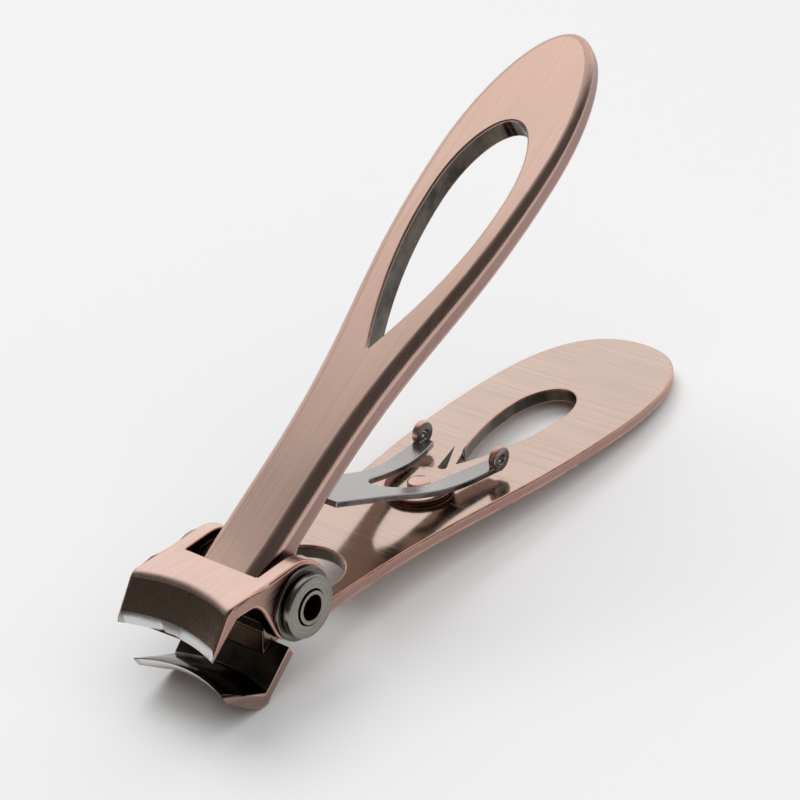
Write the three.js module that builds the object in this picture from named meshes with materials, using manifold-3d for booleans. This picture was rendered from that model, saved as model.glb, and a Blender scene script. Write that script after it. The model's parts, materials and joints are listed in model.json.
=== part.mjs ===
// Wide-jaw nail clipper of the pliers kind, opened by a leaf spring.
// Millimetres, +Z up. X runs from the jaws (-X) to the handle tails (+X), Y is the pivot axis.
// Everything is drawn about the pivot; the last lines stand the clipper on Z = 0.
import * as THREE from 'three';
import { mergeVertices } from 'three/addons/utils/BufferGeometryUtils.js';
import Module from 'manifold-3d';

const wasm = await Module();
wasm.setup();

// ---- Driving dimensions -------------------------------------------------------------

// Angles, in degrees
const openAngle = 28.57;        // lever above the X axis, at rest
const earEndAngle = -24;        // where the round of the ears runs into the handle
const hubEndAngle = -15;        // where the round of the hub runs into the lever
const jawTravel = 23.3;         // turn of the lever that brings the two edges together
const handleSlope = 4.15;       // fall of the lower handle towards its tail

// Clearances
const turnGap = 0.3;            // between pieces that turn on each other
const boreGap = 0.1;            // between the lever and the tube it turns on
const seatGap = 0.05;           // between pieces that are riveted together
const sideGap = 0.35;           // between the lever's neck and each shim washer
const forkGap = 1.33;           // between the rivet's head and each arm of the spring
const leafTipGap = 0.61;        // between the spring's tip and the lever's underside

// Frame: lower handle, ears and upper jaw in one forging
const frameTailX = 74.5;
const frameThickness = 1.8;
const frameSurfaceZ = -2.42;    // top of the lower handle, 4 mm behind the pivot
const earRadius = 4.65;
const earThickness = 1.85;
const earBack = 0.65;           // how far inside the ear's radius the top of the handle starts
const frameWideX = 54.5;
const frameWideHalf = 10.6;
const frameTailBlunt = 0.65;    // share of the stretch behind the widest place that stays wide
const frameTailRound = 7.2;
const windowRearX = 12.35;
const wallThickness = 1.2;      // wall between the window and the jaws
const wallLowZ = -0.4;          // lower end of that wall
const throatZ = 1.1;            // top of the hollow behind the jaws
const throatReach = 2.1;        // from the wall to where the jaw's underside starts
const earToe = 0.15;            // how far the ears stand in front of the window
const earToeZ = -1.9;
const earHeel = 1.8;            // from the window's front to the lowest point of the ears
const earHeelZ = -3.35;
const lowerHoleTipX = 35.4;
const lowerHoleWideX = 51.5;
const lowerHoleEndX = 58.3;
const lowerHoleHalf = 3.55;
const lowerHoleShiftY = 0.2;

// Small wedge slot beside the lower hole
const slotFrontX = 33.5;
const slotRearX = 39.1;
const slotFrontY = 1.1;
const slotRearY = 3.1;
const slotHalf = 0.55;

// Jaws
const edgeX = -13.05;           // corners of both cutting edges, with the jaws shut
const edgeZ = 0.5;
const edgeFlat = 0.12;          // left on the ground edge
const jawHalf = 7.1;            // half width of the upper jaw at its fold
const jawTaper = 0.05;          // share of its width that each jaw loses towards the edge
const lowerJawInset = 0.35;     // the lower jaw is this much narrower on each side
const edgeSag = 1.3;            // how far the middle of the edge stands back
const groundHeight = 1.2;
const groundLean = 0.4;         // how far the upper ground strip leans back
const foldX = -10.0;
const foldZ = 5.08;
const foldRadius = 0.9;
const plateTopZ = 4.72;         // top of the upper jaw at the window
const plateThickness = 1.5;
const lowerFoldX = -10.3;
const lowerFoldZ = -5.85;
const lowerRearStep = 0.05;     // rear of the lower jaw's plate, behind the window's front
const lowerRearTopZ = -3.1;
const lowerRearLowZ = -4.45;

// Lever: upper handle, hub and lower jaw
const leverTailX = 74.5;
const leverFaceZ = 4.8;         // outer face above the pivot
const leverFaceFall = 0.95;     // how far the outer face has fallen at the tail
const leverThickNeck = 3.75;
const leverThickTail = 2.7;
const hubRadius = 3.4;
const neckHalf = 4.1;
const neckX = 12;
const leverWideX = 54.5;
const leverWideHalf = 7.9;
const shoulderZ = 3.9;          // top of the hub's flat front, with the lever open
const upperHoleTipX = 27.8;
const upperHoleWideX = 49.8;
const upperHoleEndX = 60.6;
const upperHoleHalf = 4.9;

// Pivot
const tubeRadius = 1.75;
const tubeWall = 0.33;
const tubeLip = 0.15;           // how far the rolled ends stand out
const tubeLipLength = 0.35;
const tubeProud = 0.12;
const capRadius = 3.5;
const capThickness = 1.05;
const spacerRadius = 4.1;
const spacerThickness = 0.5;
const shimRadius = 3.4;
const shimThickness = 0.6;

// Leaf spring, the seat under it and the rivet
const leafThickness = 0.75;
const leafTipReach = 11.59;     // along the lever from the pivot to the spring's tip
const leafKneeX = 22;
const leafKneeLift = 2.43;      // underside of the blade at the knee, above the seat's level
const leafEndX = 36.4;
const leafEndLift = 0.02;       // the same at the ends of the arms
const leafTipHalf = 4.45;
const leafWaistX = 18;
const leafWaistHalf = 4.15;
const leafEndHalf = 6.1;
const forkApexX = 20.4;
const forkEndHalf = 4.2;
const eyeRadius = 1.45;
const eyeBore = 0.55;
const eyeWidth = 0.95;
const eyeBack = 0.1;            // from the ends of the arms back to the eyes' middle
const eyeLift = 0.7;            // from the ends of the arms up to the eyes' middle
const seatRadius = 4.1;
const seatHeight = 0.8;
const rivetX = 28.3;
const rivetShank = 0.8;
const rivetHead = 1.42;
const rivetHeadHeight = 0.5;

// ---- Derived sizes ------------------------------------------------------------------

const radians = THREE.MathUtils.degToRad;
const closedAngle = openAngle - jawTravel;
const pivot = new THREE.Vector2(0, 0);
const frameSurfaceX = earRadius - earBack;
const frameFall = Math.tan(radians(handleSlope));
const frameTop = (x) => frameSurfaceZ - (x - frameSurfaceX) * frameFall;
const frameLow = (x) => frameTop(x) - frameThickness;
const leverFace = (x) => leverFaceZ - leverFaceFall * (x / leverTailX) ** 2;
const leverLow = (x) => {
  const share = THREE.MathUtils.clamp(x / leverTailX, 0, 1);
  return leverFace(x) - THREE.MathUtils.lerp(leverThickNeck, leverThickTail, share);
};
const windowHalf = neckHalf + sideGap + shimThickness + seatGap;
const windowFrontX = -Math.max(hubRadius, shimRadius) - turnGap;
const frameFrontHalf = windowHalf + earThickness;
const lowerJawHalf = jawHalf - lowerJawInset;
const lowerRearX = windowFrontX + lowerRearStep;
const tubeBore = tubeRadius - tubeWall;
const tubeLipRadius = tubeRadius + tubeLip;
const stackInner = frameFrontHalf + seatGap;
const spacerOuter = stackInner + spacerThickness;
const capInner = spacerOuter + seatGap;
const capOuter = capInner + capThickness;
const tubeHalf = capOuter + tubeProud;
const tubeClear = tubeRadius + seatGap;
const leverBore = tubeRadius + boreGap;
const leafTip = new THREE.Vector2(leafTipReach, leverLow(leafTipReach) - leafTipGap)
  .rotateAround(pivot, radians(openAngle));
const leafLevel = (x) => frameTop(x) + seatHeight + leafThickness;
const leafKneeZ = leafLevel(leafKneeX) + leafKneeLift;
const leafEndZ = leafLevel(leafEndX) + leafEndLift;
const eyeX = leafEndX - eyeBack;
const eyeZ = leafEndZ + eyeLift;
const forkHalf = rivetHead + forkGap;

// ---- Solid helpers ------------------------------------------------------------------

function toSolid(geometry) {
  const bare = geometry.clone();
  bare.deleteAttribute('normal');
  bare.deleteAttribute('uv');
  const merged = mergeVertices(bare, 1e-4);
  const vertProperties = new Float32Array(merged.attributes.position.array);
  const triVerts = new Uint32Array(merged.index.array);
  return new wasm.Manifold(new wasm.Mesh({ numProp: 3, vertProperties, triVerts }));
}

function toGeometry(solid) {
  const mesh = solid.getMesh();
  const geometry = new THREE.BufferGeometry();
  geometry.setAttribute('position', new THREE.BufferAttribute(mesh.vertProperties, 3));
  geometry.setIndex(new THREE.BufferAttribute(mesh.triVerts, 1));
  geometry.computeVertexNormals();
  return geometry;
}

// A shape drawn in X and Z, given thickness along Y from lowY to highY.
function acrossY(shape, lowY, highY, steps = 1, curveSegments = 10) {
  const settings = { depth: highY - lowY, steps, bevelEnabled: false, curveSegments };
  const geometry = new THREE.ExtrudeGeometry(shape, settings);
  geometry.rotateX(Math.PI / 2);
  geometry.translate(0, highY, 0);
  return geometry;
}

// A shape drawn in X and Y, given thickness along Z from lowZ to highZ.
function alongZ(shape, lowZ, highZ, curveSegments = 12) {
  const settings = { depth: highZ - lowZ, bevelEnabled: false, curveSegments };
  const geometry = new THREE.ExtrudeGeometry(shape, settings);
  geometry.translate(0, 0, lowZ);
  return geometry;
}

// A disc or ring about an axis along Y through x, z.
function discY(radius, lowY, highY, x = 0, z = 0, segments = 48) {
  const geometry = new THREE.CylinderGeometry(radius, radius, highY - lowY, segments);
  geometry.translate(x, (lowY + highY) / 2, z);
  return geometry;
}

// The X and Y outline of a handle: straight front, flowing to its widest place, round tail.
function handleOutline(frontX, frontHalf, flowX, wideX, wideHalf, tailX, blunt, round) {
  const shape = new THREE.Shape();
  const reach = (wideX - flowX) * 0.45;
  shape.moveTo(frontX, -frontHalf);
  shape.lineTo(flowX, -frontHalf);
  shape.bezierCurveTo(flowX + reach, -frontHalf, wideX - reach, -wideHalf, wideX, -wideHalf);
  shape.bezierCurveTo(wideX + blunt, -wideHalf, tailX, -round, tailX, 0);
  shape.bezierCurveTo(tailX, round, wideX + blunt, wideHalf, wideX, wideHalf);
  shape.bezierCurveTo(wideX - reach, wideHalf, flowX + reach, frontHalf, flowX, frontHalf);
  shape.lineTo(frontX, frontHalf);
  shape.closePath();
  return shape;
}

// A teardrop: point at tipX, widest at wideX, round end at endX.
function teardrop(tipX, wideX, endX, half, shiftY) {
  const ellipse = 0.5523;
  const roundX = (endX - wideX) * ellipse;
  const roundY = half * ellipse;
  const leadX = tipX + (wideX - tipX) * 0.3;
  const leadY = half * 0.58;
  const reachX = wideX - (wideX - tipX) * 0.38;
  const shape = new THREE.Shape();
  shape.moveTo(tipX, shiftY);
  shape.bezierCurveTo(leadX, shiftY - leadY, reachX, shiftY - half, wideX, shiftY - half);
  shape.bezierCurveTo(wideX + roundX, shiftY - half, endX, shiftY - roundY, endX, shiftY);
  shape.bezierCurveTo(endX, shiftY + roundY, wideX + roundX, shiftY + half, wideX, shiftY + half);
  shape.bezierCurveTo(reachX, shiftY + half, leadX, shiftY + leadY, tipX, shiftY);
  return shape;
}

// Both jaws: the front stands back towards the middle and narrows towards the edge.
function sagJaw(geometry, half) {
  const startX = foldX + 3.5;
  const place = geometry.attributes.position;
  for (let i = 0; i < place.count; i += 1) {
    const x = place.getX(i);
    const share = THREE.MathUtils.clamp((startX - x) / (startX - edgeX), 0, 1);
    const across = place.getY(i) / half;
    place.setX(i, x + edgeSag * (1 - across * across) * Math.min(1, share * 2));
    place.setY(i, place.getY(i) * (1 - jawTaper * share));
  }
  return geometry;
}

// ---- Frame --------------------------------------------------------------------------

function frameGeometry() {
  const tall = 40;
  const backX = frameSurfaceX + 1.5;
  const joinX = windowRearX + 4;
  const lowFrontX = frameSurfaceX - 1.5;
  const plateLowZ = plateTopZ - plateThickness;
  const throatX = windowFrontX - wallThickness;
  const toeX = windowFrontX - earToe;
  const innerFoldX = foldX + 1.15;
  const innerFoldZ = foldZ - plateThickness - 0.1;
  const headHalf = Math.max(jawHalf, frameFrontHalf);

  const head = new THREE.Shape();
  head.moveTo(edgeX, edgeZ);
  head.lineTo(edgeX + groundLean, edgeZ + groundHeight);
  head.lineTo(foldX - foldRadius * 0.6, foldZ - foldRadius * 0.85);
  head.quadraticCurveTo(foldX, foldZ, foldX + foldRadius, foldZ - 0.04);
  head.lineTo(windowFrontX, plateTopZ);
  head.lineTo(0, earRadius);
  head.absarc(0, 0, earRadius, Math.PI / 2, radians(earEndAngle), true);
  head.quadraticCurveTo(frameSurfaceX + 0.4, frameTop(frameSurfaceX), backX, frameTop(backX));
  head.lineTo(joinX, frameTop(joinX));
  head.lineTo(joinX, frameLow(joinX));
  head.lineTo(lowFrontX, frameLow(lowFrontX));
  head.lineTo(windowFrontX + earHeel, earHeelZ);
  head.quadraticCurveTo(windowFrontX + 0.4, earHeelZ + 0.25, toeX, earToeZ);
  head.lineTo(throatX, throatZ);
  head.quadraticCurveTo(throatX - throatReach / 3, plateLowZ - 0.05,
    throatX - throatReach, plateLowZ + 0.1);
  head.lineTo(innerFoldX, innerFoldZ);
  head.lineTo(edgeX + edgeFlat, edgeZ);
  head.closePath();
  const headSolid = toSolid(sagJaw(acrossY(head, -headHalf, headHalf, 14, 6), jawHalf));

  const earCut = new THREE.Shape();
  earCut.moveTo(edgeX - 5, -jawHalf);
  earCut.lineTo(edgeX - 5, jawHalf);
  earCut.lineTo(foldX, jawHalf);
  earCut.lineTo(-spacerRadius - turnGap, frameFrontHalf);
  earCut.lineTo(windowRearX + 8, frameFrontHalf);
  earCut.lineTo(windowRearX + 8, -frameFrontHalf);
  earCut.lineTo(-spacerRadius - turnGap, -frameFrontHalf);
  earCut.lineTo(foldX, -jawHalf);
  earCut.closePath();

  const handle = new THREE.Shape();
  handle.moveTo(backX, frameTop(backX));
  handle.lineTo(frameTailX + 2, frameTop(frameTailX + 2));
  handle.lineTo(frameTailX + 2, frameLow(frameTailX + 2));
  handle.lineTo(backX, frameLow(backX));
  handle.closePath();
  const outline = handleOutline(backX, frameFrontHalf, backX + 0.5, frameWideX, frameWideHalf,
    frameTailX, (frameTailX - frameWideX) * frameTailBlunt, frameTailRound);
  const handleSolid = toSolid(acrossY(handle, -20, 20))
    .intersect(toSolid(alongZ(outline, -tall, tall, 18)));

  const windowShape = new THREE.Shape();
  const windowTurnX = windowRearX - windowHalf;
  windowShape.moveTo(windowFrontX, windowHalf);
  windowShape.lineTo(windowFrontX, -windowHalf);
  windowShape.lineTo(windowTurnX, -windowHalf);
  windowShape.absarc(windowTurnX, 0, windowHalf, -Math.PI / 2, Math.PI / 2, false);
  windowShape.closePath();
  const wallShape = new THREE.Shape();
  wallShape.moveTo(0, windowHalf);
  wallShape.lineTo(windowFrontX - 2, windowHalf);
  wallShape.lineTo(windowFrontX - 2, -windowHalf);
  wallShape.lineTo(0, -windowHalf);
  wallShape.closePath();

  const hole = teardrop(lowerHoleTipX, lowerHoleWideX, lowerHoleEndX, lowerHoleHalf,
    lowerHoleShiftY);
  const slot = new THREE.Shape();
  slot.moveTo(slotRearX, slotRearY);
  slot.lineTo(slotFrontX + slotHalf, slotFrontY + slotHalf);
  slot.absarc(slotFrontX + slotHalf, slotFrontY, slotHalf, Math.PI / 2, Math.PI * 1.6, false);
  slot.closePath();

  let solid = headSolid.intersect(toSolid(alongZ(earCut, -tall, tall)));
  solid = solid.add(handleSolid);
  solid = solid.subtract(toSolid(alongZ(windowShape, -tall, tall, 14)));
  solid = solid.subtract(toSolid(alongZ(wallShape, -tall, wallLowZ)));
  solid = solid.subtract(toSolid(alongZ(hole, -tall, tall, 12)));
  solid = solid.subtract(toSolid(alongZ(slot, -tall, tall, 6)));
  solid = solid.subtract(toSolid(discY(tubeClear, -20, 20)));
  solid = solid.subtract(rivetBore());
  return toGeometry(solid);
}

// ---- Lever --------------------------------------------------------------------------

function leverArmSolid() {
  const reach = 2;
  const faceSteps = 12;
  const flat = new THREE.Vector2(-hubRadius, 0).rotateAround(pivot, -radians(openAngle));
  const shoulder = new THREE.Vector2(-hubRadius, shoulderZ).rotateAround(pivot,
    -radians(openAngle));
  const profile = new THREE.Shape();
  profile.moveTo(flat.x, flat.y);
  profile.lineTo(shoulder.x, shoulder.y);
  for (let i = 0; i <= faceSteps; i += 1) {
    const x = THREE.MathUtils.lerp(3, leverTailX + reach, i / faceSteps);
    profile.lineTo(x, leverFace(x));
  }
  for (let i = 0; i <= faceSteps; i += 1) {
    const x = THREE.MathUtils.lerp(leverTailX + reach, hubRadius + 2.6, i / faceSteps);
    profile.lineTo(x, leverLow(x));
  }
  const hubTurn = radians(hubEndAngle);
  profile.quadraticCurveTo(hubRadius + 1, leverLow(hubRadius), hubRadius * Math.cos(hubTurn),
    hubRadius * Math.sin(hubTurn));
  profile.absarc(0, 0, hubRadius, hubTurn, -Math.PI - radians(openAngle), true);
  profile.closePath();
  const outline = handleOutline(-hubRadius - 1, neckHalf, neckX, leverWideX, leverWideHalf,
    leverTailX, (leverTailX - leverWideX) * 0.5523, leverWideHalf * 0.5523);
  return toSolid(acrossY(profile, -20, 20, 1, 16))
    .intersect(toSolid(alongZ(outline, -40, 40, 18)));
}

// The lower jaw is drawn shut, in the same place as the upper one meets it.
function lowerJawSolid() {
  const bladeInnerX = edgeX + 2.1;
  const bladeInnerZ = edgeZ - 2.6;
  const creaseX = lowerFoldX + 1.4;
  const creaseZ = lowerFoldZ + 1.25;
  const jaw = new THREE.Shape();
  jaw.moveTo(edgeX, edgeZ);
  jaw.lineTo(edgeX + edgeFlat, edgeZ);
  jaw.lineTo(bladeInnerX, bladeInnerZ);
  jaw.lineTo(creaseX, creaseZ);
  jaw.lineTo(lowerRearX - 0.1, lowerRearTopZ);
  jaw.lineTo(lowerRearX, lowerRearLowZ);
  jaw.lineTo(lowerFoldX + foldRadius, lowerFoldZ - 0.1);
  jaw.quadraticCurveTo(lowerFoldX, lowerFoldZ, lowerFoldX - 0.5, lowerFoldZ + 0.85);
  jaw.lineTo(edgeX + 0.05, edgeZ - groundHeight);
  jaw.closePath();
  const blade = sagJaw(acrossY(jaw, -lowerJawHalf, lowerJawHalf, 14, 6), lowerJawHalf);

  // The web carries the jaw from the hub, between the ears. It starts inside the hub.
  const web = new THREE.Shape();
  web.moveTo(-hubRadius + 0.3, -0.8);
  web.lineTo(-hubRadius - 0.7, -1.3);
  web.lineTo(lowerRearX - 1.95, lowerRearTopZ - 0.8);
  web.lineTo(lowerRearX - 0.55, lowerRearLowZ);
  web.lineTo(lowerRearX + 0.3, lowerRearLowZ + 0.08);
  web.lineTo(lowerRearX + 3.05, lowerRearLowZ + 0.15);
  web.lineTo(-1.0, -1.0);
  web.closePath();
  const solid = toSolid(blade).add(toSolid(acrossY(web, -neckHalf, neckHalf)));
  return solid.rotate(0, closedAngle, 0);
}

function leverGeometry() {
  const hole = teardrop(upperHoleTipX, upperHoleWideX, upperHoleEndX, upperHoleHalf, 0);
  let solid = leverArmSolid().add(lowerJawSolid());
  solid = solid.subtract(toSolid(alongZ(hole, -40, 40, 14)));
  solid = solid.subtract(toSolid(discY(leverBore, -20, 20)));
  return toGeometry(solid);
}

// ---- Pivot --------------------------------------------------------------------------

function tubeGeometry() {
  const lipInnerY = tubeHalf - tubeLipLength;
  const profile = [
    new THREE.Vector2(tubeBore, -tubeHalf),
    new THREE.Vector2(tubeLipRadius, -tubeHalf),
    new THREE.Vector2(tubeRadius, -lipInnerY),
    new THREE.Vector2(tubeRadius, lipInnerY),
    new THREE.Vector2(tubeLipRadius, tubeHalf),
    new THREE.Vector2(tubeBore, tubeHalf),
    new THREE.Vector2(tubeBore, -tubeHalf),
  ];
  return toGeometry(toSolid(new THREE.LatheGeometry(profile, 40)));
}

function ringGeometry(radius, bore, innerY, thickness, side) {
  const lowY = side > 0 ? innerY : -innerY - thickness;
  const solid = toSolid(discY(radius, lowY, lowY + thickness));
  return toGeometry(solid.subtract(toSolid(discY(bore, -20, 20))));
}

// ---- Leaf spring --------------------------------------------------------------------

// Top face of the blade, from its tip under the lever to the ends of its arms.
function leafTop() {
  const fall = (leafTip.y - leafKneeZ) / (leafKneeX - leafTip.x);
  const bend = new THREE.CubicBezierCurve(
    new THREE.Vector2(leafKneeX, leafKneeZ),
    new THREE.Vector2(leafKneeX + 4.5, leafKneeZ - 4.5 * fall),
    new THREE.Vector2(leafEndX - 7.5, leafEndZ + 0.6),
    new THREE.Vector2(leafEndX, leafEndZ),
  );
  return [leafTip, ...bend.getPoints(9)];
}

function leafGeometry() {
  const tops = leafTop();
  const side = new THREE.Shape(tops);
  for (const point of [...tops].reverse()) {
    side.lineTo(point.x - leafThickness * 0.2, point.y - leafThickness);
  }
  side.closePath();

  const plan = new THREE.Shape();
  const frontX = leafTip.x - 1;
  const flareX = leafWaistX + (leafEndX - leafWaistX) * 0.4;
  const armX = leafWaistX + (leafEndX - leafWaistX) * 0.6;
  const armHalf = leafEndHalf - 0.6;
  plan.moveTo(frontX, -leafTipHalf);
  plan.lineTo(leafWaistX, -leafWaistHalf);
  plan.bezierCurveTo(flareX, -leafWaistHalf, armX, -armHalf, leafEndX + 1, -leafEndHalf);
  plan.lineTo(leafEndX + 1, leafEndHalf);
  plan.bezierCurveTo(armX, armHalf, flareX, leafWaistHalf, leafWaistX, leafWaistHalf);
  plan.lineTo(frontX, leafTipHalf);
  plan.closePath();

  const fork = new THREE.Shape();
  const openX = leafEndX + 2;
  const shoulderHalf = forkHalf * 0.8;
  fork.moveTo(forkApexX, 0);
  fork.quadraticCurveTo(forkApexX + 0.8, -shoulderHalf * 0.8, forkApexX + 3.5, -shoulderHalf);
  fork.quadraticCurveTo(rivetX - 2, -forkHalf, rivetX + 1, -forkHalf);
  fork.quadraticCurveTo(rivetX + 4.5, -forkHalf - 0.1, openX, -forkEndHalf - 0.4);
  fork.lineTo(openX, forkEndHalf + 0.4);
  fork.quadraticCurveTo(rivetX + 4.5, forkHalf + 0.1, rivetX + 1, forkHalf);
  fork.quadraticCurveTo(rivetX - 2, forkHalf, forkApexX + 3.5, shoulderHalf);
  fork.quadraticCurveTo(forkApexX + 0.8, shoulderHalf * 0.8, forkApexX, 0);

  let solid = toSolid(acrossY(side, -10, 10)).intersect(toSolid(alongZ(plan, -30, 30, 8)));
  solid = solid.subtract(toSolid(alongZ(fork, -30, 30, 8)));
  for (const inner of [-leafEndHalf, leafEndHalf - eyeWidth]) {
    const outer = inner + eyeWidth;
    solid = solid.add(toSolid(discY(eyeRadius, inner, outer, eyeX, eyeZ, 28)));
    solid = solid.subtract(toSolid(discY(eyeBore, inner - 1, outer + 1, eyeX, eyeZ, 20)));
  }
  return toGeometry(solid);
}

// Places a solid of revolution about the rivet's axis, square to the lower handle.
function onRivet(geometry) {
  geometry.rotateX(Math.PI / 2);
  geometry.rotateY(radians(handleSlope));
  geometry.translate(rivetX, 0, frameTop(rivetX));
  return geometry;
}

function rivetBore() {
  const radius = rivetShank + seatGap;
  return toSolid(onRivet(new THREE.CylinderGeometry(radius, radius, 8, 24)));
}

// The disc between the spring's arms and the lower handle.
function seatGeometry() {
  const disc = new THREE.CylinderGeometry(seatRadius, seatRadius, seatHeight, 48);
  disc.translate(0, seatGap + seatHeight / 2, 0);
  return toGeometry(toSolid(onRivet(disc)).subtract(rivetBore()));
}

function rivetGeometry() {
  const headLow = seatHeight + 2 * seatGap;
  const tailLow = -frameThickness - seatGap;
  const profile = [new THREE.Vector2(0, tailLow), new THREE.Vector2(rivetShank, tailLow),
    new THREE.Vector2(rivetShank, headLow), new THREE.Vector2(rivetHead, headLow)];
  const domeSteps = 5;
  for (let i = 1; i < domeSteps; i += 1) {
    const turn = (i / domeSteps) * (Math.PI / 2);
    const rise = rivetHeadHeight * (0.35 + 0.65 * Math.sin(turn));
    profile.push(new THREE.Vector2(rivetHead * Math.cos(turn), headLow + rise));
  }
  profile.push(new THREE.Vector2(0, headLow + rivetHeadHeight));
  return toGeometry(toSolid(onRivet(new THREE.LatheGeometry(profile, 28))));
}

// ---- Assembly -----------------------------------------------------------------------

const copper = { color: 0xa98577, roughness: 0.38, metalness: 1 };
const nickel = { color: 0x9a958c, roughness: 0.3, metalness: 1 };
const gunmetal = { color: 0x6f6b67, roughness: 0.35, metalness: 1 };
const brightCopper = { color: 0xd7a18c, roughness: 0.3, metalness: 1 };

function piece(name, geometry, finish) {
  const mesh = new THREE.Mesh(geometry, new THREE.MeshStandardMaterial(finish));
  mesh.name = name;
  return mesh;
}

const model = new THREE.Group();
model.add(piece('lower_handle_frame', frameGeometry(), copper));

const leverGroup = new THREE.Group();
leverGroup.rotation.y = -radians(openAngle);
leverGroup.add(piece('upper_lever', leverGeometry(), copper));
model.add(leverGroup);

model.add(piece('pivot_tube', tubeGeometry(), nickel));
for (const [label, side] of [['near', -1], ['far', 1]]) {
  const shimInner = windowHalf - seatGap - shimThickness;
  const shim = ringGeometry(shimRadius, tubeClear, shimInner, shimThickness, side);
  const spacer = ringGeometry(spacerRadius, tubeClear, stackInner, spacerThickness, side);
  const capBore = tubeLipRadius + seatGap;
  const cap = ringGeometry(capRadius, capBore, capInner, capThickness, side);
  model.add(piece(`shim_washer_${label}`, shim, nickel));
  model.add(piece(`spacer_ring_${label}`, spacer, gunmetal));
  model.add(piece(`cap_washer_${label}`, cap, nickel));
}
model.add(piece('leaf_spring', leafGeometry(), gunmetal));
model.add(piece('spring_seat', seatGeometry(), copper));
model.add(piece('spring_rivet', rivetGeometry(), brightCopper));

// Stand the clipper on Z = 0, with the middle of its footprint at the origin.
model.updateMatrixWorld(true);
const bounds = new THREE.Box3().setFromObject(model, true);
const middle = bounds.getCenter(new THREE.Vector3());
model.position.set(-middle.x, -middle.y, -bounds.min.z);

export default model;
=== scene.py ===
import json
import math

import bmesh
import bpy
from mathutils import Matrix, Vector
from mathutils.bvhtree import BVHTree


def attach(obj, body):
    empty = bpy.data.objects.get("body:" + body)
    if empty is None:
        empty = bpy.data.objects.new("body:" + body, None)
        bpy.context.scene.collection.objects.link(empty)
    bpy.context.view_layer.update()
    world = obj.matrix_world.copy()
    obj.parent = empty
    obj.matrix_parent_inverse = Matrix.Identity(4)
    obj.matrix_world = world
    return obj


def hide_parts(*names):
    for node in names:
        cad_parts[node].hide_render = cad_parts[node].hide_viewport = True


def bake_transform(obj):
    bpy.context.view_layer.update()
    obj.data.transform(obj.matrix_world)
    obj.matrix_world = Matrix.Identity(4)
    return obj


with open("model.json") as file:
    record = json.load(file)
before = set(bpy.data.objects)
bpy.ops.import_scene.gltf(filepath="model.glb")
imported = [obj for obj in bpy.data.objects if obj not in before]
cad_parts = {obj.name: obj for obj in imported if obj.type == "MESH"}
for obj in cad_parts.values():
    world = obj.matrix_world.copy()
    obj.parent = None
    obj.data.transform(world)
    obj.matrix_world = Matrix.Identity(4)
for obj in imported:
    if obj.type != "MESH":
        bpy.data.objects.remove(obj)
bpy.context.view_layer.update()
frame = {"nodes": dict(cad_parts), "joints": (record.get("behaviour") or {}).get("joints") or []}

MM = 0.001
PIVOT = Vector(frame["joints"][0]["pos_m"])
OPEN_ANGLE = math.radians(28.57)    # lever above the X axis, at rest
JAW_TRAVEL = math.radians(23.3)     # turn of the lever that shuts the jaws
SLOPE = math.radians(4.15)          # fall of the lower handle towards its tail


def at(x, y, z):
    """A point given in mm from the pivot, in metres in the row frame."""
    return PIVOT + Vector((x, y, z)) * MM


def local(point):
    """The row-frame point in mm from the pivot."""
    return (point - PIVOT) / MM


LEVER_TURN = Matrix.Rotation(OPEN_ANGLE, 3, "Y")


def lever_local(point):
    """The row-frame point in mm from the pivot, with X along the lever."""
    return LEVER_TURN @ local(point)


JAW_TURN = Matrix.Rotation(JAW_TRAVEL, 3, "Y")


def jaw_local(point):
    """The row-frame point in mm from the pivot, as it lies with the jaws shut."""
    return JAW_TURN @ local(point)


# ---- Materials ----------------------------------------------------------------------

class Graph:
    """A short way to write shader nodes."""

    def __init__(self, name):
        self.material = bpy.data.materials.new(name)
        self.material.use_nodes = True
        self.tree = self.material.node_tree
        self.shader = self.tree.nodes["Principled BSDF"]

    def node(self, kind, inputs=(), **settings):
        made = self.tree.nodes.new(kind)
        for key, value in settings.items():
            setattr(made, key, value)
        for key, value in dict(inputs).items():
            self.feed(made.inputs[key], value)
        return made

    def feed(self, socket, value):
        if isinstance(value, bpy.types.NodeSocket):
            self.tree.links.new(value, socket)
        else:
            socket.default_value = value

    def set(self, **inputs):
        for key, value in inputs.items():
            self.feed(self.shader.inputs[key.replace("_", " ")], value)

    def coords(self, turn_y=0.0, scale=(1, 1, 1)):
        """Object coordinates about the pivot, turned about Y, then scaled."""
        place = self.node("ShaderNodeTexCoord")
        moved = self.node("ShaderNodeVectorMath", {0: place.outputs["Object"], 1: -PIVOT},
                          operation="ADD")
        turned = self.node("ShaderNodeMapping", {
            "Vector": moved.outputs[0], "Rotation": (0, turn_y, 0)})
        scaled = self.node("ShaderNodeVectorMath", {0: turned.outputs[0], 1: scale},
                           operation="MULTIPLY")
        return scaled.outputs[0]

    def noise(self, vector, scale=1.0, detail=2.0, roughness=0.5):
        made = self.node("ShaderNodeTexNoise", {
            "Vector": vector, "Scale": scale, "Detail": detail, "Roughness": roughness})
        return made.outputs["Fac"]

    def range(self, value, low, high, to_low=0.0, to_high=1.0):
        made = self.node("ShaderNodeMapRange", {
            "Value": value, "From Min": low, "From Max": high,
            "To Min": to_low, "To Max": to_high})
        return made.outputs["Result"]

    def mix(self, share, first, second):
        made = self.node("ShaderNodeMix", data_type="RGBA")
        self.feed(made.inputs["Factor"], share)
        self.feed(made.inputs["A"], first)
        self.feed(made.inputs["B"], second)
        return made.outputs["Result"]

    def math(self, operation, first, second=0.0):
        return self.node("ShaderNodeMath", {0: first, 1: second}, operation=operation).outputs[0]

    def bump(self, height, strength, distance):
        made = self.node("ShaderNodeBump", {
            "Height": height, "Strength": strength, "Distance": distance})
        self.feed(self.shader.inputs["Normal"], made.outputs["Normal"])


def rgb(red, green, blue):
    return (red, green, blue, 1.0)


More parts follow.
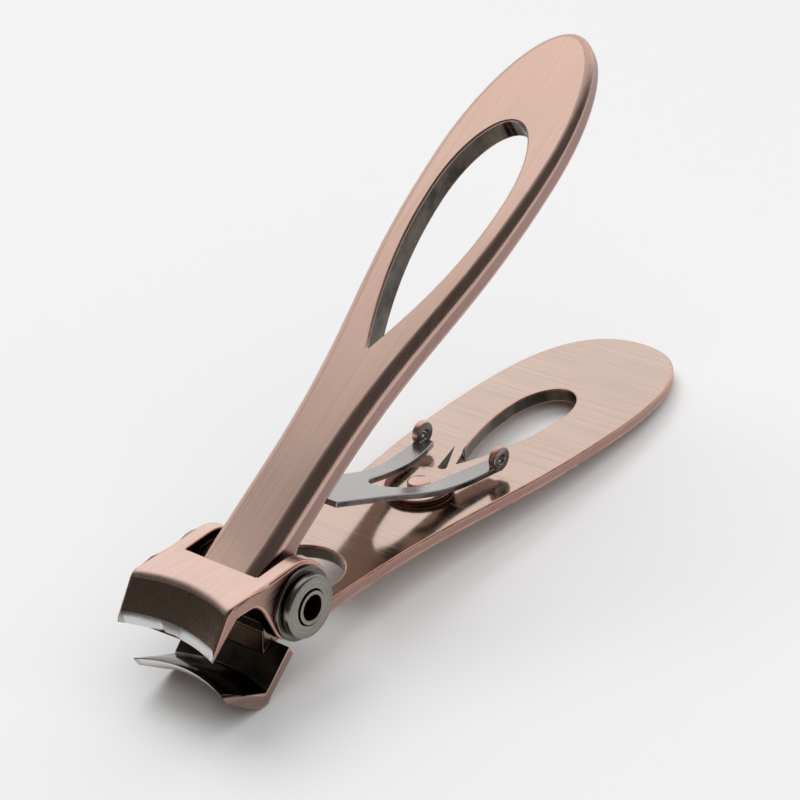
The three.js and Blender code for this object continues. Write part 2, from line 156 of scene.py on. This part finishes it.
def brushed(name, light, dark, turn_y=0.0, along="X", rough=(0.2, 0.34), deep=1.0):
    """Plated metal with fine brush lines along one axis and slow changes of tone."""
    g = Graph(name)
    fine, long = 5200.0, 60.0
    scale = tuple(long if axis == along else fine for axis in "XYZ")
    lines = g.noise(g.coords(turn_y, scale), 1.0, 3.0, 0.6)
    threads = g.noise(g.coords(turn_y, tuple(value * 0.4 for value in scale)), 1.0, 2.0, 0.5)
    patches = g.noise(g.coords(turn_y, (60, 60, 60)), 1.0, 2.0, 0.5)
    tone = g.math("ADD", g.math("MULTIPLY", lines, 0.5), g.math("MULTIPLY", threads, 0.25))
    tone = g.math("ADD", tone, g.math("MULTIPLY", patches, 0.25))
    g.set(Base_Color=g.mix(g.range(tone, 0.3, 0.7), rgb(*dark), rgb(*light)),
          Metallic=1.0, Roughness=g.range(lines, 0.3, 0.7, *rough))
    g.bump(lines, 0.14 * deep, 0.00002)
    return g.material


def polished(name, light, dark, rough=(0.08, 0.2), grain=1500.0, deep=0.1):
    """Bright dipped metal with a faint cast grain."""
    g = Graph(name)
    cloud = g.noise(g.coords(0, (240, 240, 240)), 1.0, 3.0, 0.6)
    pits = g.noise(g.coords(0, (grain, grain, grain)), 1.0, 2.0, 0.5)
    g.set(Base_Color=g.mix(g.range(cloud, 0.35, 0.65), rgb(*dark), rgb(*light)),
          Metallic=1.0, Roughness=g.range(cloud, 0.35, 0.65, *rough))
    g.bump(pits, deep, 0.00002)
    return g.material


RING_SCALE = 6000.0         # per metre, how close the turned rings lie


def turned(name, light, dark, rough=(0.2, 0.34)):
    """Turned metal: fine rings about the pivot's axis."""
    g = Graph(name)
    parts = g.node("ShaderNodeSeparateXYZ", {0: g.coords()})
    squares = g.math("ADD", g.math("POWER", parts.outputs["X"], 2.0),
                     g.math("POWER", parts.outputs["Z"], 2.0))
    radius = g.math("SQRT", squares)
    across = g.node("ShaderNodeCombineXYZ", {
        "X": g.math("MULTIPLY", radius, RING_SCALE),
        "Y": g.math("MULTIPLY", parts.outputs["Y"], RING_SCALE)})
    rings = g.noise(across.outputs[0], 1.0, 2.0, 0.5)
    cloud = g.noise(g.coords(0, (400, 400, 400)), 1.0, 3.0, 0.5)
    tone = g.math("ADD", g.math("MULTIPLY", rings, 0.6), g.math("MULTIPLY", cloud, 0.4))
    g.set(Base_Color=g.mix(g.range(tone, 0.38, 0.62), rgb(*dark), rgb(*light)),
          Metallic=1.0, Roughness=g.range(rings, 0.3, 0.7, *rough))
    g.bump(rings, 0.12, 0.00002)
    return g.material


M = {
    "handle": brushed("copper_brushed_across", (0.70, 0.535, 0.455), (0.52, 0.39, 0.325), SLOPE,
                      "Y", (0.10, 0.19)),
    "lever": brushed("copper_brushed_along", (0.88, 0.62, 0.52), (0.68, 0.46, 0.375), OPEN_ANGLE,
                     "X", (0.16, 0.28)),
    "jaw": brushed("copper_brushed_jaw", (0.86, 0.63, 0.55), (0.66, 0.46, 0.39)),
    # Front faces of the jaws: brushed copper with painted shade, much darker than the jaw copper
    "front": brushed("copper_front_painted_shade", (0.36, 0.26, 0.20), (0.24, 0.165, 0.125), 0.0, "Z",
                     (0.24, 0.36)),
    # Side walls of the handle: the same copper as its top with painted shade, darker
    "side": brushed("copper_side_painted_shade", (0.46, 0.29, 0.25), (0.32, 0.195, 0.16), SLOPE, "X",
                    (0.26, 0.38)),
    # Side walls of the lever: the same copper as its top with painted shade, darker
    "lever_side": brushed("copper_lever_side_painted_shade", (0.40, 0.265, 0.235), (0.28, 0.175, 0.15),
                          OPEN_ANGLE, "X", (0.26, 0.38)),
    # Lever's rounded shoulders: painted shade, a copper between the lit top and the darker sides
    "lever_edge": brushed("copper_lever_shoulder_painted_shade", (0.66, 0.45, 0.38), (0.48, 0.31, 0.255),
                          OPEN_ANGLE, "X", (0.18, 0.3)),
    # Rounded edges of the frame and seat, and the spring ears' rims: more orange copper, a painted
    # highlight
    "edge": polished("copper_edge_painted_highlight", (0.74, 0.44, 0.35), (0.52, 0.28, 0.21), (0.22, 0.36)),
    # Hole walls, undersides, the jaw's hollow and the seat's sides: near-black painted shade
    "inner": polished("copper_painted_shade_black", (0.13, 0.108, 0.088), (0.035, 0.029, 0.024), (0.08, 0.18)),
    "ground": brushed("ground_steel", (0.72, 0.72, 0.70), (0.58, 0.575, 0.56), 0.0, "X",
                      (0.26, 0.4)),
    "nickel": turned("nickel_turned", (0.33, 0.305, 0.27), (0.24, 0.22, 0.195)),
    "nickel_dark": turned("nickel_dark", (0.20, 0.185, 0.165), (0.10, 0.092, 0.084), (0.16, 0.3)),
    "spring": brushed("spring_steel", (0.42, 0.40, 0.39), (0.33, 0.315, 0.305), 0.0, "X",
                      (0.16, 0.28), 0.5),
    # Cut sides of the spring's arms and stem: rough sheared steel with near-black painted shade
    "spring_edge": polished("spring_sheared_edge_painted_shade", (0.22, 0.20, 0.19), (0.04, 0.036, 0.034),
                            (0.2, 0.45), 2600.0, 0.9),
    "rivet": polished("copper_pale", (0.80, 0.56, 0.48), (0.62, 0.40, 0.33), (0.22, 0.34)),
}


# ---- Meshes -------------------------------------------------------------------------

# Places in each forging's list of materials
TOP, ROUNDED, JAW, FRONT, INNER, SIDE, GROUND = range(7)

# Places in the spring's list and in the seat's list
SPRING_FLAT, SPRING_CUT, SPRING_RIM = 0, 2, 3
SEAT_TOP, SEAT_SIDE = 0, 2

WIDEST_ROUND = 2.0          # mm, the width that a bevel weight of 1 gives
DEEPEST_ROUND = 0.65        # mm, the furthest that a rounding lies under the solid's surface
PROUDEST_ROUND = 0.1        # mm, the furthest that a filled inner corner stands above it


def settle(mesh, node):
    """Puts corners that a rounding threw off the solid back on its surface.

    Roundings of different widths that meet along nearly one line can do that.
    """
    solid = frame["nodes"][node].data
    surface = BVHTree.FromPolygons([vertex.co for vertex in solid.vertices],
                                   [list(face.vertices) for face in solid.polygons])
    for vertex in mesh.vertices:
        near, normal, _, gap = surface.find_nearest(vertex.co)
        proud = (vertex.co - near).dot(normal)
        if gap > DEEPEST_ROUND * MM or proud > PROUDEST_ROUND * MM:
            vertex.co = near


def refined(node, name, body, materials, rule, segments=3, sharp=28.0):
    """A copy of a CAD node with its flat faces joined up and its sharp edges rounded.

    rule(middle, normals) gives the width of each sharp edge's rounding in mm.
    """
    mesh = frame["nodes"][node].data.copy()
    mesh.name = name
    mesh.materials.clear()
    for key in materials:
        mesh.materials.append(M[key])
    work = bmesh.new()
    work.from_mesh(mesh)
    bmesh.ops.remove_doubles(work, verts=work.verts, dist=0.002 * MM)
    bmesh.ops.dissolve_limit(work, angle_limit=math.radians(0.06), verts=work.verts,
                             edges=work.edges)
    layer = work.edges.layers.float.new("bevel_weight_edge")
    for face in work.faces:
        face.smooth = True
        face.material_index = 0
    for edge in work.edges:
        if len(edge.link_faces) != 2:
            continue
        if math.degrees(edge.calc_face_angle(0.0)) < sharp:
            continue
        middle = (edge.verts[0].co + edge.verts[1].co) / 2
        normals = [face.normal for face in edge.link_faces]
        edge[layer] = rule(middle, normals) / WIDEST_ROUND
    work.to_mesh(mesh)
    work.free()
    made = bpy.data.objects.new(name, mesh)
    bpy.context.scene.collection.objects.link(made)
    bevel = made.modifiers.new("round_edges", "BEVEL")
    bevel.limit_method = "WEIGHT"
    bevel.width = WIDEST_ROUND * MM
    bevel.use_clamp_overlap = False
    bevel.segments = segments
    # The rounded strips take the second material, which on the frame and seat is the copper with
    # painted highlight
    bevel.material = ROUNDED
    bevel.miter_outer = "MITER_ARC"
    weighted = made.modifiers.new("normals", "WEIGHTED_NORMAL")
    weighted.weight = 60
    bpy.context.view_layer.update()
    graph = bpy.context.evaluated_depsgraph_get()
    final = bpy.data.meshes.new_from_object(made.evaluated_get(graph), depsgraph=graph)
    made.modifiers.clear()
    made.data = final
    final.name = name
    settle(final, node)
    if body:
        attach(made, body)
    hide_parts(node)
    return made


def paint(piece, rule):
    """Gives each face that isn't a rounded edge the material that rule picks, as an index."""
    for face in piece.data.polygons:
        if face.material_index == ROUNDED:
            continue
        face.material_index = rule(face.center, face.normal)


def even(width):
    """The same rounding on every sharp edge."""
    return lambda middle, normals: width


# Lower handle, ears and upper jaw. Places are in mm from the pivot.

HANDLE_FRONT = 5.0          # the flat handle starts here, behind the ears
HOLE_END = 60.0             # rear end of the lower handle's teardrop
HOLE_SIDE = 5.6             # the teardrop and the slot lie within this of the middle
SLOT_START = 32.5
SLOT_END = 39.5
SLOT_SIDE = 3.5


def frame_edge(middle, normals):
    p = local(middle)
    if p.x > HANDLE_FRONT:
        if SLOT_START < p.x < SLOT_END and 0 < p.y < SLOT_SIDE:
            return 0.0
        if abs(p.y) < HOLE_SIDE and p.x < HOLE_END:
            return 0.2
        below = any(n.z < -0.7 for n in normals)
        return 0.7 if below else 0.25
    if p.x < -11.8:
        return 0.0
    if abs(p.y) > 6.0 and any(abs(n.y) > 0.8 for n in normals):
        return 0.35
    return 0.15


def frame_face(center, normal):
    p = local(center)
    if p.x > HANDLE_FRONT:
        if abs(normal.z) > 0.7:
            return TOP
        # Walls of the holes get near-black painted shade
        inside = abs(p.y) < HOLE_SIDE and p.x < HOLE_END
        return INNER if inside else SIDE
    # Front faces get the copper with painted shade; the ground blade strip keeps its own steel
    # colour
    if p.x < -10.5 and normal.x < -0.3:
        return GROUND if p.z < 1.95 else FRONT
    if normal.x < -0.3 and normal.z < 0.68 and p.x < -9.0:
        return FRONT
    # Undersides and the inner faces between the ears get near-black painted shade
    if normal.z < -0.25 or (abs(p.y) < 5.2 and abs(normal.y) > 0.8):
        return INNER
    # Outer walls get the side copper with painted shade
    if abs(normal.y) > 0.8:
        return SIDE
    return JAW


handle = refined("lower_handle_frame", "handle_frame", "frame",
                 ["handle", "edge", "jaw", "front", "inner", "side", "ground"], frame_edge, 4)
paint(handle, frame_face)


# Lever: upper handle, hub and lower jaw. Places are in mm from the pivot.

LEVER_FRONT = 3.0           # the lever's bar starts here, behind the hub
LEVER_HOLE_START = 27.5
LEVER_HOLE_END = 61.5       # its edges end before this
LEVER_HOLE_WALL_END = 60.9  # and its walls before this


def lever_edge(middle, normals):
    q = lever_local(middle)
    top = any((LEVER_TURN @ n).z > 0.8 for n in normals)
    if q.x > LEVER_FRONT:
        near_hole = LEVER_HOLE_START < q.x < LEVER_HOLE_END
        towards_hole = near_hole and all(n.y * q.y < 0.05 for n in normals)
        if towards_hole:
            return 0.25
        share = min(1.0, max(0.0, (q.x - 12) / 50))
        return 1.5 - 0.6 * share if top else 0.8 - 0.2 * share
    if q.z > 1.5 and q.x > -5:
        return 1.5 if top and abs(q.y) > 3 else 0.22
    j = jaw_local(middle)
    blade = j.x < -10.9 or (j.x < -5 and j.z > -2.2)
    return 0.0 if blade else 0.22


def lever_face(center, normal):
    q = lever_local(center)
    n = LEVER_TURN @ normal
    if q.x > LEVER_FRONT:
        if abs(n.z) > 0.7:
            return TOP
        # Walls of the lever's hole get near-black painted shade
        inside = LEVER_HOLE_START < q.x < LEVER_HOLE_WALL_END and n.y * q.y < 0
        return INNER if inside else SIDE
    # Outer walls get the side copper with painted shade
    if abs(n.y) > 0.8 and q.x > -3.5 and abs(q.y) > 3.9:
        return SIDE
    if q.z > 1.5 and q.x > -2:
        return TOP
    j = jaw_local(center)
    m = JAW_TURN @ normal
    # The web and the hollow of the lower jaw get near-black painted shade
    if j.x > -3.4 and abs(j.y) < 4.2:
        return INNER
    if abs(m.y) > 0.8:
        return SIDE if abs(j.y) > 4.5 else INNER
    # Front faces get the copper with painted shade; the ground blade strip keeps its own steel
    # colour
    if m.x < -0.5:
        return GROUND if j.z > -0.75 else FRONT
    if m.z < -0.5:
        return JAW
    return SIDE if m.x > 0.9 and j.x > -3.9 else INNER


lever = refined("upper_lever", "lever", "lever",
                ["lever", "lever_edge", "jaw", "front", "inner", "lever_side", "ground"],
                lever_edge, 5)
paint(lever, lever_face)


def paint_shade_on_inner_edges(piece):
    """Paints shade on the edges of the web and inside the lower jaw, as dark as the faces beside
    them.
    """
    for face in piece.data.polygons:
        if face.material_index != ROUNDED:
            continue
        j = jaw_local(face.center)
        m = JAW_TURN @ face.normal
        web = abs(j.y) < 4.4 and -5.5 < j.x < 2.0 and j.z < 0
        hollow = abs(j.y) < 6.4 and -11.0 < j.x < 0 and j.z < 0 and m.z > -0.1
        if web or hollow:
            face.material_index = INNER


paint_shade_on_inner_edges(lever)

# Pivot stack
for label in ("near", "far"):
    refined(f"cap_washer_{label}", f"cap_washer_round_{label}", "frame",
            ["nickel", "nickel"], even(0.28), 4)
    refined(f"spacer_ring_{label}", f"spacer_ring_round_{label}", "frame",
            ["nickel_dark", "nickel_dark"], even(0.15), 3)
    refined(f"shim_washer_{label}", f"shim_washer_round_{label}", "frame",
            ["nickel", "nickel"], even(0.12), 2)
refined("pivot_tube", "pivot_tube_round", "frame", ["nickel", "nickel"],
        even(0.08), 3)


# Spring, its seat and the rivet

def spring_face(center, normal):
    p = local(center)
    from_eye = Vector((p.x - 36.3, p.z + 2.5)).length
    above = p.z > -2.9 or p.x > 37
    # The ears' rims take the orange copper edge colour: a painted highlight on the steel
    if above and 1.3 < from_eye < 1.6 and abs(normal.y) < 0.5:
        return SPRING_RIM
    # Cut sides of the arms and stem get the near-black painted shade
    return SPRING_CUT if abs(normal.y) > 0.6 and p.x < 34 else SPRING_FLAT


spring = refined("leaf_spring", "leaf_spring_plate", None,
                 ["spring", "spring", "spring_edge", "edge"], even(0.12), 2)
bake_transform(spring)
paint(spring, spring_face)
# The seat's sides get near-black painted shade
seat = refined("spring_seat", "spring_seat_round", "frame",
               ["handle", "edge", "inner"], even(0.18), 3)
paint(seat, lambda center, normal: SEAT_TOP if normal.z > 0.7 else SEAT_SIDE)
refined("spring_rivet", "spring_rivet_round", "frame", ["rivet", "rivet"],
        even(0.12), 2)


# ---- Floor, light and camera --------------------------------------------------------

def white_floor():
    g = Graph("floor_white")
    soft = g.noise(g.coords(0, (3, 3, 3)), 1.0, 2.0, 0.5)
    g.set(Base_Color=g.mix(soft, rgb(0.80, 0.80, 0.80), rgb(0.82, 0.82, 0.82)),
          Roughness=0.9)
    mesh = bpy.data.meshes.new("floor")
    half = 3.0
    mesh.from_pydata([(-half, -half, 0), (half, -half, 0), (half, half, 0), (-half, half, 0)],
                     [], [(0, 1, 2, 3)])
    mesh.materials.append(g.material)
    floor = bpy.data.objects.new("floor", mesh)
    floor.location = (0, 0, -0.0001)
    bpy.context.scene.collection.objects.link(floor)


def soft_light(name, direction, distance, size, power):
    """A square light that looks at the object from a direction, and isn't reflected."""
    data = bpy.data.lights.new(name, "AREA")
    data.size = size
    data.energy = power
    lamp = bpy.data.objects.new(name, data)
    away = Vector(direction).normalized()
    lamp.location = away * distance
    lamp.rotation_euler = away.to_track_quat("Z", "Y").to_euler()
    lamp.visible_glossy = False
    bpy.context.scene.collection.objects.link(lamp)


def studio():
    """A dim room with one wide bright side, behind and above the object."""
    world = bpy.data.worlds.new("studio")
    bpy.context.scene.world = world
    world.use_nodes = True
    tree = world.node_tree
    back = tree.nodes["Background"]
    place = tree.nodes.new("ShaderNodeTexCoord")
    dot = tree.nodes.new("ShaderNodeVectorMath")
    dot.operation = "DOT_PRODUCT"
    dot.inputs[1].default_value = Vector((0.75, 0.5, 0.43)).normalized()
    tree.links.new(place.outputs["Generated"], dot.inputs[0])
    ramp = tree.nodes.new("ShaderNodeMapRange")
    ramp.interpolation_type = "SMOOTHSTEP"
    for key, value in (("From Min", 0.38), ("From Max", 0.78), ("To Min", 0.10), ("To Max", 1.05)):
        ramp.inputs[key].default_value = value
    tree.links.new(dot.outputs["Value"], ramp.inputs["Value"])
    tree.links.new(ramp.outputs["Result"], back.inputs["Strength"])
    back.inputs["Color"].default_value = (1.0, 1.0, 1.0, 1.0)


white_floor()
studio()
soft_light("key", (0.15, 0.45, 0.85), 0.9, 0.6, 3.13)
soft_light("fill", (-0.1, -0.5, 0.86), 1.2, 1.6, 10.5)

scene = bpy.context.scene
scene.view_settings.view_transform = "Standard"

camera_data = bpy.data.cameras.new("camera")
camera_data.sensor_width = 36.0
camera_data.lens = 99.0
camera_data.clip_start = 0.01
camera = bpy.data.objects.new("camera", camera_data)
scene.collection.objects.link(camera)
camera.location = at(-131.399, -140.933, 131.626)
camera.rotation_euler = tuple(math.radians(turn) for turn in (59.7067, 5.3142, -51.3785))
scene.camera = camera

bpy.context.view_layer.update()
